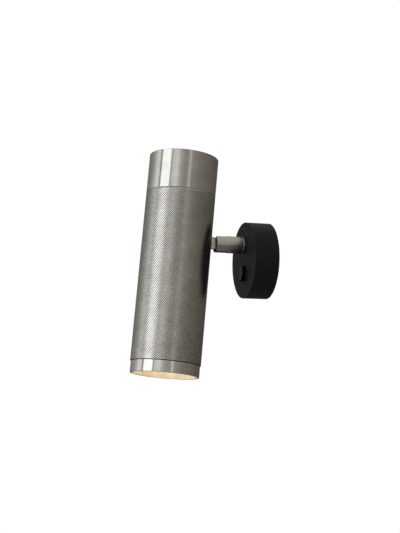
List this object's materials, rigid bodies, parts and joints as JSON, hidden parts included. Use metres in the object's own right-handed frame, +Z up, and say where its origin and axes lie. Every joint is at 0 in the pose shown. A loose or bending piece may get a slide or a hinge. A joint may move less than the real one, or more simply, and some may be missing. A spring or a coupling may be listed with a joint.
{
  "type": "wall light",
  "caption": "Wall light with a knurled tube head that tilts on a short swivelling arm, and a round canopy with a rocker switch.",
  "frame": {"origin": "middle of the wall plate's back, on the wall, half way between its two screw slots", "axes": "+Y into the wall, -Y out of it towards the head, +Z up, +X to the right as seen from the room"},
  "size_m": [0.0664, 0.1221, 0.1947],
  "materials": {
    "brushed_metal": "turned and brushed along the tube, warm grey",
    "knurled_metal": "diamond knurled, warm grey",
    "tube_metal": "plain drawn tube",
    "satin_nickel": "satin",
    "zinc_steel": "bright zinc",
    "spring_steel": "blued",
    "black_paint": "matte black powder coat",
    "black_screw": "black oxide",
    "black_rubber": "matte",
    "black_plastic": "fine moulded texture",
    "gloss_black": "gloss",
    "white_plastic": "moulded",
    "nylon": "natural",
    "ceramic": "unglazed steatite",
    "brass": "plain",
    "tinned_copper": "tinned",
    "brown_sleeve": "wire sleeve",
    "blue_sleeve": "wire sleeve",
    "green_sleeve": "wire sleeve",
    "white_sleeve": "heat proof wire sleeve",
    "frosted_lens": "frosted, lit warm white"
  },
  "bodies": {
    "wall_base": {"wall_plate": "zinc_steel", "cable_grommet": "black_rubber", "canopy": "black_paint", "canopy_screws": "black_screw", "arm_collar": "satin_nickel", "terminal_block": "white_plastic", "terminal_barrels": "brass", "terminal_screws": "zinc_steel", "block_screw": "zinc_steel", "earth_tag": "tinned_copper", "earth_screw": "brass", "switch_bezel": "black_plastic", "switch_housing": "black_plastic", "switch_blades": "tinned_copper", "live_leads": "brown_sleeve", "neutral_lead": "blue_sleeve", "earth_lead": "green_sleeve"},
    "rocker": {"rocker": "gloss_black"},
    "arm": {"arm": "satin_nickel", "stop_washer": "zinc_steel", "disc_spring": "spring_steel", "arm_nut": "zinc_steel", "pivot_screw": "zinc_steel", "pivot_washers": "nylon", "arm_leads": "white_sleeve"},
    "head": {"hinge_tongue": "satin_nickel", "tongue_screws": "zinc_steel", "holder_bracket": "zinc_steel", "holder_screws": "zinc_steel", "lamp_holder": "ceramic", "holder_contacts": "brass", "lamp_body": "white_plastic", "lamp_pins": "brass", "lamp_lens": "frosted_lens", "centring_ring": "black_plastic", "lamp_tube": "tube_metal", "knurled_sleeve": "knurled_metal", "mouth_ring": "brushed_metal", "top_cap": "brushed_metal", "head_leads": "white_sleeve"}
  },
  "joints": [
    {"name": "arm_swivel", "type": "hinge", "parent": "wall_base", "child": "arm", "pos_m": [0, -0.0214, 0.0133], "axis": [0, -1, 0], "range_deg": [-160, 160]},
    {"name": "head_tilt", "type": "hinge", "parent": "arm", "child": "head", "pos_m": [0, -0.042, 0.0133], "axis": [-1, 0, 0], "range_deg": [-29, 26]},
    {"name": "switch_rock", "type": "hinge", "parent": "wall_base", "child": "rocker", "pos_m": [0, -0.0204, -0.012], "axis": [1, 0, 0], "range_deg": [0, 12]}
  ]
}
